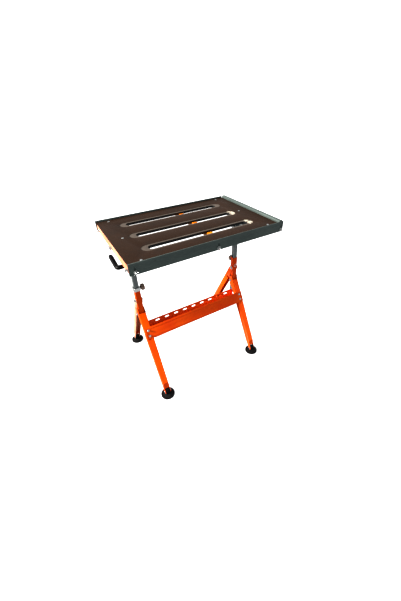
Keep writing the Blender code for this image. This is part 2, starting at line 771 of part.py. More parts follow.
def front_leg(side, sign):
    """Channel open to the rear whose flanges straddle the sleeve and fork over the foot."""
    x = sign * UPRIGHT_X
    at, length = front_frame()
    half = SLEEVE_SIZE / 2
    outline = [
        (half - 0.001, 0.436),
        (half - 0.001, 0.456),
        (0.006, 0.463),
        (-0.010, 0.463),
        (-half - 0.0025, 0.456),
        (-half - 0.0025, 0.4445),
    ]
    outline.append(at(length - FORK_LENGTH, LEG_FRONT_V))
    outline += fork_end(at, length, FORK_RADIUS)
    outline.append(at(length - FORK_LENGTH, -LEG_BACK_V))
    outer = FRONT_OUTER / 2
    inner = FRONT_INNER / 2
    bm = tapered(prism(outline, "X", x - outer, x + outer), at, length, x, TOE_NARROWING)
    obj = to_object("front_leg_" + side, bm, ORANGE)
    web = LEG_FRONT_V - LEG_WALL
    hollow = [
        at(-0.060, -0.060),
        at(-0.060, 0.060),
        at(0.012, 0.060),
        at(0.012, web),
        at(length - FORK_LENGTH - 0.004, web),
        at(length - FORK_LENGTH - 0.004, 0.060),
        at(length + 0.060, 0.060),
        at(length + 0.060, -0.060),
    ]
    shapes = [
        tapered(prism(hollow, "X", x - inner, x + inner), at, length, x, TOE_NARROWING),
        bore("X", 0.0, LEG_BOLT_Z, LEG_BOLT_RADIUS + GAP, x - 0.03, x + 0.03),
        bore("X", FRONT_FOOT_Y, PIN_Z, PIN_RADIUS + GAP, x - 0.03, x + 0.03),
    ]
    for s in crossbar_screw_distances():
        shapes.append(slanted_bore(at, s, x, CROSSBAR_SCREW_RADIUS + GAP, web - 0.002, 0.030))
    cut(obj, shapes)


def slanted_bore(at, s, x, radius, v0, v1, sides=12):
    """Round hole square to the face of the leg."""
    return slanted_rod(at, s, x, [(v0, v1, ("round", radius))], sides)


def slanted_rod(at, s, x, sections, sides=12):
    """Stepped rod square to the face of the leg at distance s down it."""
    rings = []
    for start, end, shape in sections:
        rings.append((start, shape))
        rings.append((end, shape))
    bm = turned("Z", 0.0, 0.0, rings, sides)
    base = at(s, 0.0)
    outward = at(s, 1.0)
    down = at(s + 1.0, 0.0)
    n = Vector((0.0, outward[0] - base[0], outward[1] - base[1]))
    d = Vector((0.0, down[0] - base[0], down[1] - base[1]))
    side = d.cross(n)
    turn = Matrix((side, d, n)).transposed().to_4x4()
    turn.translation = Vector((x, base[0], base[1]))
    bmesh.ops.transform(bm, matrix=turn, verts=bm.verts)
    bmesh.ops.recalc_face_normals(bm, faces=bm.faces)
    return bm


def crossbar_top_distance():
    at, length = front_frame()
    top_z = at(0.0, LEG_FRONT_V)[1]
    fall = (FRONT_LEG_TOP_Z - PIN_Z) / length
    return (top_z - CROSSBAR_TOP_Z) / fall


def crossbar_screw_distances():
    s = crossbar_top_distance()
    return (s + 0.016, s + 0.046)


def crossbar():
    """Pressed tray bolted across the front legs: sloping front, floor, rear wall with slots."""
    at, _length = front_frame()
    wall = CROSSBAR_WALL
    s0 = crossbar_top_distance()
    s1 = s0 + CROSSBAR_FACE
    v0 = LEG_FRONT_V + GAP
    inside = UPRIGHT_X - FRONT_OUTER / 2 - 0.004
    outer_x = UPRIGHT_X + FRONT_OUTER / 2
    rear_top = (at(s0, v0)[0] + CROSSBAR_DEPTH, at(s0, v0)[1] + 0.008)
    rear_low = (at(s1, v0)[0] + CROSSBAR_DEPTH + 0.004, at(s1, v0)[1] + 0.008)
    section = [
        at(s0, v0),
        at(s0, v0 + wall),
        at(s1, v0 + wall),
        (at(s1, v0 + wall)[0] + 0.002, at(s1, v0 + wall)[1] - wall * 0.6),
        (rear_low[0] + wall, rear_low[1] - wall),
        (rear_top[0] + wall, rear_top[1]),
        rear_top,
        rear_low,
        (at(s1 - wall, v0)[0], at(s1 - wall, v0)[1]),
    ]
    obj = to_object("crossbar", prism(section, "X", -outer_x, outer_x), ORANGE)
    shapes = []
    for sign in (-1.0, 1.0):
        xs = sorted((sign * inside, sign * (outer_x + 0.02)))
        behind = [
            at(s0 - 0.060, v0),
            at(s1 - wall - 0.0001, v0),
            at(s1 - wall - 0.0001, v0 + 0.040),
            at(s1 + 0.060, v0 + 0.040),
            at(s1 + 0.060, v0 - 0.120),
            at(s0 - 0.060, v0 - 0.120),
        ]
        shapes.append(prism(behind, "X", xs[0], xs[1]))
    rear_y = rear_top[0]
    rear_mid = rear_top[1] - 0.012
    for i in range(9):
        x = (i - 4) * 0.056
        hole = stadium(x, rear_mid, 0.012, 0.004, 8)
        shapes.append(prism(hole, "Y", rear_y - 0.012, rear_y + 0.016))
    for sign in (-1.0, 1.0):
        for s in crossbar_screw_distances():
            shapes.append(
                slanted_bore(
                    at, s, sign * UPRIGHT_X, CROSSBAR_SCREW_RADIUS + GAP, v0 - 0.004, v0 + 0.020
                )
            )
    cut(obj, shapes)


def crossbar_screws():
    at, _length = front_frame()
    face = LEG_FRONT_V + GAP + CROSSBAR_WALL + GAP
    web = LEG_FRONT_V - LEG_WALL - GAP
    for side, sign in (("left", -1.0), ("right", 1.0)):
        for name, s in zip(("upper", "lower"), crossbar_screw_distances()):
            sections = [
                (web - 0.0050, web, ("hex", 0.0050)),
                (web, face, ("round", CROSSBAR_SCREW_RADIUS)),
                (face, face + 0.0010, ("round", 0.0065)),
                (face + 0.0010, face + 0.0045, ("hex", 0.0050)),
            ]
            bm = slanted_rod(at, s, sign * UPRIGHT_X, sections)
            smooth(to_object("crossbar_screw_" + side + "_" + name, bm, ZINC))


def through_bolt(name, x, z, half_stack, washer):
    """Bolt along X through both walls, head on the inner side and nut outside."""
    sign = 1.0 if x > 0 else -1.0
    seat = half_stack + GAP
    steps = [
        (-seat - 0.0055, -seat - 0.0015, ("hex", 0.0065)),
        (-seat - 0.0015, -seat, ("round", washer)),
        (-seat, seat, ("round", LEG_BOLT_RADIUS)),
        (seat, seat + 0.0015, ("round", washer)),
        (seat + 0.0015, seat + 0.0080, ("hex", 0.0065)),
        (seat + 0.0080, seat + 0.0100, ("round", LEG_BOLT_RADIUS)),
    ]
    sections = [(x + sign * start, x + sign * end, shape) for start, end, shape in steps]
    smooth(to_object(name, stepped("X", 0.0, z, sections), ZINC))


def rear_leg(side, sign):
    """Channel open to the front; swings on the upper bolt until its notch meets the leg bolt."""
    x = sign * UPRIGHT_X
    at, length = rear_frame()
    head = LEG_FRONT_V
    points = [(length - FORK_LENGTH, -LEG_BACK_V + 0.001)]
    outline = [at(s, v) for s, v in points]
    for i in range(13):
        angle = -math.pi / 2 - math.pi * i / 12
        outline.append(at(head * math.cos(angle), head * math.sin(angle)))
    outline.append(at(0.026, REAR_WEB_V + LEG_WALL))
    outline.append(at(length - FORK_LENGTH, REAR_WEB_V + LEG_WALL))
    outline += fork_end(at, length, FORK_RADIUS)
    notch_s = REAR_PIVOT_Z - LEG_BOLT_Z
    notch = [at(notch_s - NOTCH_HALF_WIDTH, -0.030), at(notch_s + NOTCH_HALF_WIDTH, -0.030)]
    for i in range(9):
        angle = math.pi * i / 8
        s = notch_s + NOTCH_HALF_WIDTH * math.cos(angle)
        notch.append(at(s, NOTCH_HALF_WIDTH * math.sin(angle)))
    outer = REAR_OUTER / 2
    inner = REAR_INNER / 2
    bm = prism(outline, "X", x - outer, x + outer)
    obj = to_object("rear_leg_" + side, bm, ORANGE, (x, 0.0, REAR_PIVOT_Z))
    hollow = [
        at(-0.060, -0.060),
        at(-0.060, 0.060),
        at(0.030, 0.060),
        at(0.030, REAR_WEB_V),
        at(length - FORK_LENGTH - 0.004, REAR_WEB_V),
        at(length - FORK_LENGTH - 0.004, 0.060),
        at(length + 0.060, 0.060),
        at(length + 0.060, -0.060),
    ]
    cut(
        obj,
        [
            prism(hollow, "X", x - inner, x + inner),
            bore("X", 0.0, REAR_PIVOT_Z, LEG_BOLT_RADIUS + GAP, x - 0.03, x + 0.03),
            bore("X", REAR_FOOT_Y, PIN_Z, PIN_RADIUS + GAP, x - 0.03, x + 0.03),
            prism(notch, "X", x - 0.03, x + 0.03),
        ],
    )


def foot_pad(name, x, y, inner_width, outer_width):
    """Round swivel pad with a lug between the fork plates and its pin through them."""
    rings = [
        (0.0, ("round", PAD_RADIUS - 0.0015)),
        (0.0015, ("round", PAD_RADIUS)),
        (PAD_HEIGHT - 0.002, ("round", PAD_RADIUS)),
        (PAD_HEIGHT, ("round", PAD_RADIUS - 0.003)),
    ]
    obj = to_object(name, turned("Z", x, y, rings, 32), RUBBER, (x, y, PIN_Z))
    half = inner_width / 2 - GAP
    lug = [(y - 0.011, PAD_HEIGHT - 0.003)]
    for i in range(13):
        angle = math.pi - math.pi * i / 12
        lug.append((y + 0.0085 * math.cos(angle), PIN_Z + 0.0085 * math.sin(angle)))
    lug.append((y + 0.011, PAD_HEIGHT - 0.003))
    reach = outer_width / 2 + GAP
    sections = [
        (x - reach - 0.003, x - reach, ("round", 0.0065)),
        (x - reach, x + reach, ("round", PIN_RADIUS)),
        (x + reach, x + reach + 0.003, ("round", 0.0065)),
    ]
    join(obj, [prism(lug, "X", x - half, x + half), stepped("X", y, PIN_Z, sections)])


def centre_over_origin():
    """Puts the origin on the floor under the middle of the overall box."""
    right = TOP_LENGTH / 2 + GAP + RIGHT_RAIL_WIDTH + GAP + WING_HEIGHT
    left = channel_outer_x() + GAP + WING_HEIGHT
    offset = Vector(((right - left) / 2, (FRONT_FOOT_Y + REAR_FOOT_Y) / 2, 0.0))
    for obj in bpy.data.objects:
        obj.location = obj.location - offset


def build():
    clear_scene()
    top_plate()
    rivets()
    for side, sign in (("left", -1.0), ("right", 1.0)):
        side_channel(side, sign)
        tilt_plate(side, sign)
        inner_tube(side, sign)
        hinge_bolt(side, sign)
        sleeve(side, sign, SLEEVE_TOP_Z if sign < 0 else RIGHT_SLEEVE_TOP_Z)
        front_leg(side, sign)
        rear_leg(side, sign)
        x = sign * UPRIGHT_X
        through_bolt("leg_bolt_" + side, x, LEG_BOLT_Z, FRONT_OUTER / 2, LEG_WASHER_RADIUS)
        through_bolt("pivot_bolt_" + side, x, REAR_PIVOT_Z, REAR_OUTER / 2, PIVOT_WASHER_RADIUS)
        toe = FRONT_TOE_OUTER
        foot_pad("foot_pad_front_" + side, x, FRONT_FOOT_Y, toe - 2 * LEG_WALL, toe)
        foot_pad("foot_pad_rear_" + side, x, REAR_FOOT_Y, REAR_INNER, REAR_OUTER)
    edge_bar("front", -1.0, FRONT_BOLT_XS, EDGE_BAR_RIGHT_X)
    edge_bar("back", 1.0, BACK_BOLT_XS, channel_outer_x())
    centre_brace()
    long_rail("front", -1.0, FRONT_RAIL_RISE, FRONT_BOLT_XS, EDGE_BAR_RIGHT_X)
    long_rail("back", 1.0, BACK_RAIL_RISE, BACK_BOLT_XS, TOP_LENGTH / 2)
    right_rail()
    rail_screws()
    lock_stud()
    guide_bolt_right()
    lock_lever()
    collar()
    height_knobs()
    crossbar()
    crossbar_screws()
    centre_over_origin()


build()
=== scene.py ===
"""Folding welding table: finishes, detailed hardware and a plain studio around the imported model."""

import json
import math

import bmesh
import bpy
from mathutils import Matrix, Vector


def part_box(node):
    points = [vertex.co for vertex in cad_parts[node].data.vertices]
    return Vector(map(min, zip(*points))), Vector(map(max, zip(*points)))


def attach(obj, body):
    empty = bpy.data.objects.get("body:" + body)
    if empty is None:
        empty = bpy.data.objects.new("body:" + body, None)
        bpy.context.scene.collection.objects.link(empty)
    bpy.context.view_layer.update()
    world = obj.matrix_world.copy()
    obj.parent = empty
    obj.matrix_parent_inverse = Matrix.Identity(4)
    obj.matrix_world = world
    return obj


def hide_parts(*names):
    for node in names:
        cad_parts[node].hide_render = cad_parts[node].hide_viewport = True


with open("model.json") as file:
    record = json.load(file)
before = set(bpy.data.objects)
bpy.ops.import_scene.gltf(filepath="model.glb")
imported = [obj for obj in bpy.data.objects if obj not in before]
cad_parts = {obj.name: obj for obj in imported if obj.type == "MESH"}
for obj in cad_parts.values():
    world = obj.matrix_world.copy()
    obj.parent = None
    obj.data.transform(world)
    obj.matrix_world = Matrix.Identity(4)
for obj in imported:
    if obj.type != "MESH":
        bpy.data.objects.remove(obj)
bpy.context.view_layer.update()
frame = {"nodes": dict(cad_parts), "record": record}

MM = 0.001
UP = Vector((0.0, 0.0, 1.0))
WELD = 0.02 * MM
FLAT = math.radians(0.6)
FOLD = math.radians(34.0)
SLOT_END_INSET = 116 * MM  # from the end of the plate to the end of a slot margin
PIN_DEPTH = 8.5 * MM  # from the top of a foot to the middle of its pin

# ---- studio -------------------------------------------------------------------------
CAMERA_AT = Vector((-0.5604, -1.0920, 1.3328))
CAMERA_AZIMUTH = math.radians(-31.589)
CAMERA_ELEVATION = math.radians(36.411)
CAMERA_ROLL = math.radians(-0.529)
CAMERA_LENS = 15.79
CAMERA_SHIFT = (-0.0126, -0.0139)
FLOOR_RADIUS = 60.0
FLOOR_COLOUR = (0.62, 0.62, 0.62, 1.0)
FLOOR_GLOW = 0.62
SKY_ABOVE = 0.62
SKY_BELOW = 0.24
GLARE = 0.62
KEY_AZIMUTH = math.radians(-102.0)
KEY_ELEVATION = math.radians(28.0)
KEY_COLOUR = (1.0, 0.97, 0.92)
KEY_STRENGTH = 5.7
KEY_SOFTNESS = math.radians(14.0)


# ---- finishes -----------------------------------------------------------------------
class Value:
    """One socket of a finish; arithmetic on it adds Math nodes."""

    def __init__(self, finish, socket):
        self.finish = finish
        self.socket = socket

    def _pair(self, operation, left, right):
        return self.finish.add("ShaderNodeMath", {"operation": operation}, {0: left, 1: right})

    def __add__(self, other):
        return self._pair("ADD", self, other)

    def __sub__(self, other):
        return self._pair("SUBTRACT", self, other)

    def __rsub__(self, other):
        return self._pair("SUBTRACT", other, self)

    def __mul__(self, other):
        return self._pair("MULTIPLY", self, other)

    __radd__ = __add__


class Finish:
    """A named material, built by adding nodes to its tree."""

    def __init__(self, name, **constants):
        self.material = bpy.data.materials.new(name)
        self.material.use_nodes = True
        self.tree = self.material.node_tree
        self.shader = self.tree.nodes["Principled BSDF"]
        for key, value in constants.items():
            self.feed(self.shader.inputs[key.replace("_", " ")], value)
        self.place = self.add("ShaderNodeTexCoord", {}, {}, "Object")

    def feed(self, socket, value):
        if isinstance(value, Value):
            self.tree.links.new(value.socket, socket)
        else:
            socket.default_value = value

    def add(self, kind, settings, inputs, output=0):
        """Adds one node: its settings first, then the values or links of its sockets."""
        node = self.tree.nodes.new(kind)
        for key, value in settings.items():
            if key == "stops":
                ramp = node.color_ramp.elements
                while len(ramp) < len(value):
                    ramp.new(0.5)
                for stop, (position, colour) in zip(ramp, value):
                    stop.position = position
                    stop.color = colour
            else:
                setattr(node, key, value)
        for key, value in inputs.items():
            self.feed(node.inputs[key], value)
        return Value(self, node.outputs[output])

    def stretched(self, scale, at=(0.0, 0.0, 0.0)):
        """Object coordinates scaled along each axis."""
        return self.add(
            "ShaderNodeMapping", {}, {"Vector": self.place, "Scale": scale, "Location": at}
        )

    def noise(self, scale, detail=4.0, roughness=0.55, place=None):
        sockets = {"Vector": place or self.place, "Scale": scale}
        sockets.update({"Detail": detail, "Roughness": roughness})
        return self.add("ShaderNodeTexNoise", {"normalize": True}, sockets, "Fac")

    def cells(self, scale, place=None, feature="F1"):
        sockets = {"Vector": place or self.place, "Scale": scale}
        return self.add("ShaderNodeTexVoronoi", {"feature": feature}, sockets, "Distance")

    def step(self, value, low, high):
        """0 below low, 1 above high, smooth between."""
        sockets = {"Value": value, "From Min": low, "From Max": high}
        settings = {"interpolation_type": "SMOOTHSTEP", "clamp": True}
        return self.add("ShaderNodeMapRange", settings, sockets, "Result")

    def blend(self, amount, below, above):
        """Colour below where amount is 0, above where it is 1."""
        settings = {"data_type": "RGBA", "clamp_factor": True}
        return self.add("ShaderNodeMix", settings, {0: amount, 6: below, 7: above}, 2)

    def axis(self, letter):
        return self.add("ShaderNodeSeparateXYZ", {}, {"Vector": self.place}, letter)

    def facing_up(self):
        """Z of the surface normal."""
        normal = self.add("ShaderNodeNewGeometry", {}, {}, "Normal")
        return self.add("ShaderNodeSeparateXYZ", {}, {"Vector": normal}, "Z")

    def edges(self, radius, low, high):
        """1 on an edge or corner that rubbing reaches, 0 on a flat face."""
        rounded = self.add("ShaderNodeBevel", {"samples": 4}, {"Radius": radius}, "Normal")
        flat = self.add("ShaderNodeNewGeometry", {}, {}, "Normal")
        sockets = {0: rounded, 1: flat}
        turn = self.add("ShaderNodeVectorMath", {"operation": "DOT_PRODUCT"}, sockets, "Value")
        return self.step(1.0 - turn, low, high)

    def hollows(self, distance, low, high):
        """1 in a corner or crease that the open sky hardly reaches, 0 in the open; the finishes use
        it for painted shade.
        """
        settings = {"samples": 4, "only_local": False}
        open_sky = self.add(
            "ShaderNodeAmbientOcclusion", settings, {"Distance": distance}, "AO"
        )
        return 1.0 - self.step(open_sky, low, high)

    def bump(self, height, strength, distance, under=None):
        sockets = {"Height": height, "Strength": strength, "Distance": distance}
        if under is not None:
            sockets["Normal"] = under
        return self.add("ShaderNodeBump", {}, sockets, "Normal")

    def done(self, colour=None, roughness=None, metallic=None, normal=None):
        for key, value in (
            ("Base Color", colour),
            ("Roughness", roughness),
            ("Metallic", metallic),
            ("Normal", normal),
        ):
            if value is not None:
                self.feed(self.shader.inputs[key], value)
        return self.material


def rgb(red, green, blue):
    """Linear colour from the 0 to 255 values of a colour chart."""
    def linear(value):
        share = value / 255.0
        return share / 12.92 if share <= 0.04045 else ((share + 0.055) / 1.055) ** 2.4

    return (linear(red), linear(green), linear(blue), 1.0)


def mill_plate():
    """Oiled hot-rolled plate: brown scale, cloudy patches, light scratches and heat tint."""
    f = Finish("mill_plate", Metallic=0.1)
    f.feed(f.shader.inputs["Specular IOR Level"], 0.10)
    clouds = f.noise(5.0, 5.0, 0.6)
    patches = f.step(f.noise(17.0, 6.0, 0.65), 0.46, 0.66)
    grain = f.noise(420.0, 3.0, 0.7, f.stretched((1.0, 0.35, 1.0)))
    colour = f.blend(clouds, rgb(50, 35, 27), rgb(68, 51, 40))
    colour = f.blend(patches * 0.45, colour, rgb(56, 50, 46))
    colour = f.blend(f.step(grain, 0.50, 0.80) * 0.35, colour, rgb(92, 72, 58))
    scratch = f.noise(60.0, 2.0, 0.5, f.stretched((1.4, 26.0, 1.0)))
    other = f.noise(50.0, 2.0, 0.5, f.stretched((22.0, 2.2, 1.0), (3.1, 1.7, 0.0)))
    marks = f.step(scratch, 0.70, 0.74) + f.step(other, 0.72, 0.76)
    colour = f.blend(marks * 0.40, colour, rgb(126, 112, 102))
    worn = f.edges(1.6 * MM, 0.02, 0.30)
    colour = f.blend(worn * 0.75, colour, rgb(132, 122, 114))
    rough = 0.42 + clouds * 0.16 + patches * 0.10 - marks * 0.08
    normal = f.bump(grain + marks * 0.4, 0.22, 0.25 * MM)
    return f.done(colour, rough, None, normal)


def rubbed_rim():
    """Bare pressed margin round each slot, rubbed by clamps, with a painted highlight at the right
    ends of the front and middle slots and painted shade in its hollows.
    """
    f = Finish("rubbed_rim", Metallic=0.15)
    clouds = f.noise(28.0, 4.0, 0.6)
    streak = f.noise(36.0, 3.0, 0.6, f.stretched((1.0, 9.0, 1.0)))
    colour = f.blend(clouds, rgb(84, 73, 64), rgb(106, 94, 84))
    colour = f.blend(f.step(streak, 0.52, 0.72) * 0.4, colour, rgb(128, 116, 104))
    low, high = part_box("top_plate")
    slot_end = high.x - SLOT_END_INSET
    # Cream patch at the right ends of the front and middle slots: a painted highlight.
    painted_glint = f.step(f.axis("X"), slot_end - 4 * MM, slot_end + 6 * MM)
    painted_glint = painted_glint * (1.0 - f.step(f.axis("Y"), 50 * MM, 80 * MM))
    painted_glint = painted_glint * f.step(f.noise(70.0, 4.0, 0.6), 0.36, 0.52)
    colour = f.blend(painted_glint * 0.85, colour, rgb(236, 224, 202))
    # Darker in corners and hollows: painted shade.
    painted_shade = f.hollows(3.0 * MM, 0.35, 0.85)
    colour = f.blend(painted_shade * 0.7, colour, rgb(44, 36, 32))
    rough = 0.36 + clouds * 0.18
    return f.done(colour, rough, None, f.bump(streak, 0.20, 0.2 * MM))


def slot_wall():
    """Near-black lips of the slots with a cloudy tone: painted shade."""
    f = Finish("slot_wall", Metallic=0.2)
    clouds = f.noise(40.0, 4.0, 0.6)
    colour = f.blend(clouds, rgb(18, 20, 22), rgb(38, 38, 38))
    return f.done(colour, 0.55 + clouds * 0.1, None, f.bump(clouds, 0.2, 0.2 * MM))


def guide_steel():
    """Blue-grey flat bar with scale, drag marks and brighter edges."""
    f = Finish("guide_steel", Metallic=0.15)
    f.feed(f.shader.inputs["Specular IOR Level"], 0.3)
    clouds = f.noise(9.0, 5.0, 0.62)
    specks = f.step(f.noise(85.0, 4.0, 0.7), 0.56, 0.74)
    drag = f.noise(45.0, 3.0, 0.6, f.stretched((1.0, 1.0, 14.0)))
    colour = f.blend(clouds, rgb(72, 82, 80), rgb(104, 114, 110))
    colour = f.blend(f.step(drag, 0.50, 0.75) * 0.35, colour, rgb(124, 132, 124))
    colour = f.blend(specks * 0.30, colour, rgb(86, 72, 58))
    worn = f.edges(1.4 * MM, 0.02, 0.28)
    colour = f.blend(worn * 0.80, colour, rgb(156, 160, 154))
    rough = 0.44 + clouds * 0.16 - worn * 0.10
    normal = f.bump(clouds + specks * 0.3 + drag * 0.3, 0.25, 0.4 * MM)
    return f.done(colour, rough, None, normal)


def orange_coat(name, light, deep):
    """Powder coat with orange-peel skin, faded patches, rubbed edges and a few chips."""
    f = Finish(name, Metallic=0.0)
    f.feed(f.shader.inputs["Specular IOR Level"], 0.22)
    fade = f.noise(6.0, 4.0, 0.6)
    peel = f.cells(520.0, None, "SMOOTH_F1")
    scuff = f.noise(70.0, 5.0, 0.75, f.stretched((1.0, 1.0, 0.4)))
    colour = f.blend(f.step(fade, 0.34, 0.70), deep, light)
    scuffs = f.step(scuff, 0.64, 0.76)
    colour = f.blend(scuffs * 0.28, colour, rgb(252, 150, 92))
    # Darker deep red in corners and hollows: painted shade.
    painted_shade = f.hollows(6.0 * MM, 0.30, 0.80)
    colour = f.blend(painted_shade * 0.55, colour, rgb(92, 22, 6))
    edge = f.edges(1.1 * MM, 0.03, 0.26)
    chipped = edge * f.step(f.noise(130.0, 5.0, 0.7), 0.50, 0.58)
    colour = f.blend(edge * 0.30, colour, rgb(255, 140, 60))
    colour = f.blend(chipped, colour, rgb(88, 84, 80))
    chip = f.step(f.noise(26.0, 6.0, 0.8), 0.735, 0.750)
    colour = f.blend(chip, colour, rgb(70, 66, 62))
    rough = 0.30 + fade * 0.10 + scuffs * 0.20 + chipped * 0.15
    bare = chipped * 0.6 + chip * 0.6
    skin = f.bump(peel, 0.10, 0.12 * MM)
    normal = f.bump(1.0 - bare, 0.30, 0.15 * MM, skin)
    return f.done(colour, rough, bare, normal)


def tube_steel():
    """Drawn tube, lightly oiled, rubbed along its length by the sleeve."""
    f = Finish("tube_steel", Metallic=0.35)
    rub = f.noise(75.0, 4.0, 0.65, f.stretched((9.0, 9.0, 0.35)))
    clouds = f.noise(24.0, 5.0, 0.65)
    colour = f.blend(rub, rgb(96, 102, 102), rgb(140, 146, 146))
    colour = f.blend(f.step(clouds, 0.50, 0.72) * 0.45, colour, rgb(86, 82, 76))
    edge = f.edges(1.0 * MM, 0.03, 0.30)
    colour = f.blend(edge * 0.5, colour, rgb(196, 200, 200))
    rough = 0.30 + clouds * 0.18
    return f.done(colour, rough, None, f.bump(rub, 0.12, 0.15 * MM))


def zinc_plate():
    """Bright plated hardware with faint spangle and painted shade in its corners."""
    f = Finish("zinc_plate", Metallic=1.0)
    spangle = f.cells(240.0)
    clouds = f.noise(150.0, 4.0, 0.6)
    colour = f.blend(spangle, rgb(214, 216, 214), rgb(184, 188, 190))
    colour = f.blend(f.step(clouds, 0.52, 0.74) * 0.35, colour, rgb(150, 140, 120))
    # Darker in corners and hollows: painted shade.
    painted_shade = f.hollows(1.8 * MM, 0.30, 0.80)
    colour = f.blend(painted_shade * 0.75, colour, rgb(60, 54, 48))
    rough = 0.22 + clouds * 0.16
    return f.done(colour, rough, None, f.bump(spangle, 0.08, 0.08 * MM))


def rubber():
    """Moulded black rubber, dusty where it faces up."""
    f = Finish("moulded_rubber", Metallic=0.0)
    f.feed(f.shader.inputs["Specular IOR Level"], 0.3)
    grain = f.noise(600.0, 3.0, 0.6)
    dust = f.step(f.noise(60.0, 5.0, 0.7), 0.44, 0.74) * f.step(f.facing_up(), 0.2, 0.9)
    colour = f.blend(grain, rgb(10, 10, 11), rgb(20, 20, 21))
    colour = f.blend(dust * 0.14, colour, rgb(84, 80, 76))
    scuff = f.edges(1.2 * MM, 0.03, 0.30)
    colour = f.blend(scuff * 0.30, colour, rgb(74, 72, 70))
    return f.done(colour, 0.68 + dust * 0.15, None, f.bump(grain, 0.18, 0.12 * MM))


def dipped_grip():
    """Black dipped vinyl with a soft skin and a few rub marks."""
    f = Finish("dipped_grip", Metallic=0.0)
    f.feed(f.shader.inputs["Specular IOR Level"], 0.2)
    skin = f.noise(160.0, 4.0, 0.5)
    rub = f.step(f.noise(40.0, 5.0, 0.75), 0.60, 0.72)
    colour = f.blend(skin, rgb(5, 5, 6), rgb(13, 13, 14))
    colour = f.blend(rub * 0.25, colour, rgb(70, 70, 70))
    return f.done(colour, 0.36 + skin * 0.1 + rub * 0.2, None, f.bump(skin, 0.12, 0.3 * MM))


def knob_iron():
    """Cast knob, brown-grey with brighter crowns on its rim."""
    f = Finish("knob_iron", Metallic=0.45)
    pits = f.cells(330.0)
    clouds = f.noise(60.0, 4.0, 0.6)
    colour = f.blend(clouds, rgb(112, 96, 88), rgb(166, 146, 134))
    edge = f.edges(1.2 * MM, 0.03, 0.28)
    colour = f.blend(edge * 0.6, colour, rgb(206, 196, 188))
    # Darker in corners and hollows: painted shade.
    painted_shade = f.hollows(3.0 * MM, 0.35, 0.85)
    colour = f.blend(painted_shade * 0.6, colour, rgb(52, 44, 40))
    return f.done(colour, 0.44 + clouds * 0.12, None, f.bump(pits, 0.25, 0.2 * MM))


PLATE = mill_plate()
RIM = rubbed_rim()
WALL = slot_wall()
GUIDE = guide_steel()
ORANGE = orange_coat("orange_coat", rgb(246, 96, 2), rgb(234, 78, 0))
# Pale salmon copy of the orange coat: painted glare on the left side channel and left rear leg, which
# face the key light.
PAINTED_GLARE_ORANGE = orange_coat("painted_glare_orange_coat", rgb(238, 172, 138), rgb(226, 140, 104))
# Lighter, yellower copy of the orange coat for the centre brace: painted sunlight on it where it
# shows through the slots.
SUNLIT_BRACE_ORANGE = orange_coat("sunlit_brace_orange_coat", rgb(250, 156, 22), rgb(240, 128, 8))
TUBE = tube_steel()
ZINC = zinc_plate()
RUBBER = rubber()
GRIP = dipped_grip()
KNOB = knob_iron()


# ---- bench: shaping and handing over pieces -----------------------------------------
def body_with(node):
    """Name of the body that carries a CAD node."""
    for name, members in frame["record"]["behaviour"]["bodies"].items():
        if node in members:
            return name
    raise ValueError(node)


def middle(node):
    low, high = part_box(node)
    return (low + high) / 2


def hand_over(name, bm, body, finishes, stands_for=()):
    """Turns a finished shape into a piece that rides on a body."""
    bmesh.ops.recalc_face_normals(bm, faces=bm.faces)
    mesh = bpy.data.meshes.new(name)
    bm.to_mesh(mesh)
    bm.free()
    mesh.shade_smooth()
    mesh.set_sharp_from_angle(angle=FOLD)
    obj = bpy.data.objects.new(name, mesh)
    bpy.context.scene.collection.objects.link(obj)
    for finish in finishes:
        mesh.materials.append(finish)
    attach(obj, body)
    if stands_for:
        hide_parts(*stands_for)
    return obj


def copy_of(node):
    """Welded copy of a CAD node's mesh, with flat triangles joined up again."""
    bm = bmesh.new()
    bm.from_mesh(frame["nodes"][node].data)
    bmesh.ops.remove_doubles(bm, verts=bm.verts, dist=WELD)
    bmesh.ops.dissolve_limit(bm, angle_limit=FLAT, verts=bm.verts, edges=bm.edges)
    return bm


def soften(bm, edges, width, segments):
    edges = [edge for edge in edges if edge.is_valid]
    if edges:
        bmesh.ops.bevel(
            bm,
            geom=edges,
            offset=width,
            offset_type="OFFSET",
            affect="EDGES",
            segments=segments,
            profile=0.5,
            material=-1,
            clamp_overlap=True,
        )


def folds(bm, least=4.0 * MM):
    """Outside bends: convex edges between two faces that are both wider than the sheet."""
    found = []
    for edge in bm.edges:
        if len(edge.link_faces) != 2 or not edge.is_convex:
            continue
        length = edge.calc_length()
        if length < 12.0 * MM or edge.calc_face_angle(0.0) < FOLD:
            continue
        if all(face.calc_area() / length > least for face in edge.link_faces):
            found.append(edge)
    return found


def corners(bm):
    return [
        edge
        for edge in bm.edges
        if len(edge.link_faces) == 2 and edge.is_convex and edge.calc_face_angle(0.0) > FOLD
    ]


def refined(node, finish, fold_radius=0.0, edge_radius=0.35 * MM):
    """A CAD node with its bends and cut edges rounded."""
    bm = copy_of(node)
    if fold_radius:
        soften(bm, folds(bm), fold_radius, 3)
    soften(bm, corners(bm), edge_radius, 2)
    return hand_over(node + "_formed", bm, body_with(node), [finish], [node])


# ---- hardware: shaping tools --------------------------------------------------------
AXES = {"X": 0, "Y": 1, "Z": 2}


def lathe(profile, steps=24):
    """Closed round shape from (radius, height) points, first and last on the axis."""
    bm = bmesh.new()
    verts = [bm.verts.new((radius, 0.0, height)) for radius, height in profile]
    edges = [bm.edges.new(pair) for pair in zip(verts, verts[1:])]
    bmesh.ops.spin(
        bm,
        geom=verts + edges,
        cent=(0.0, 0.0, 0.0),
        axis=(0.0, 0.0, 1.0),
        angle=2 * math.pi,
        steps=steps,
        use_merge=True,
    )
    bmesh.ops.remove_doubles(bm, verts=bm.verts, dist=0.002 * MM)
    bmesh.ops.recalc_face_normals(bm, faces=bm.faces)
    return bm


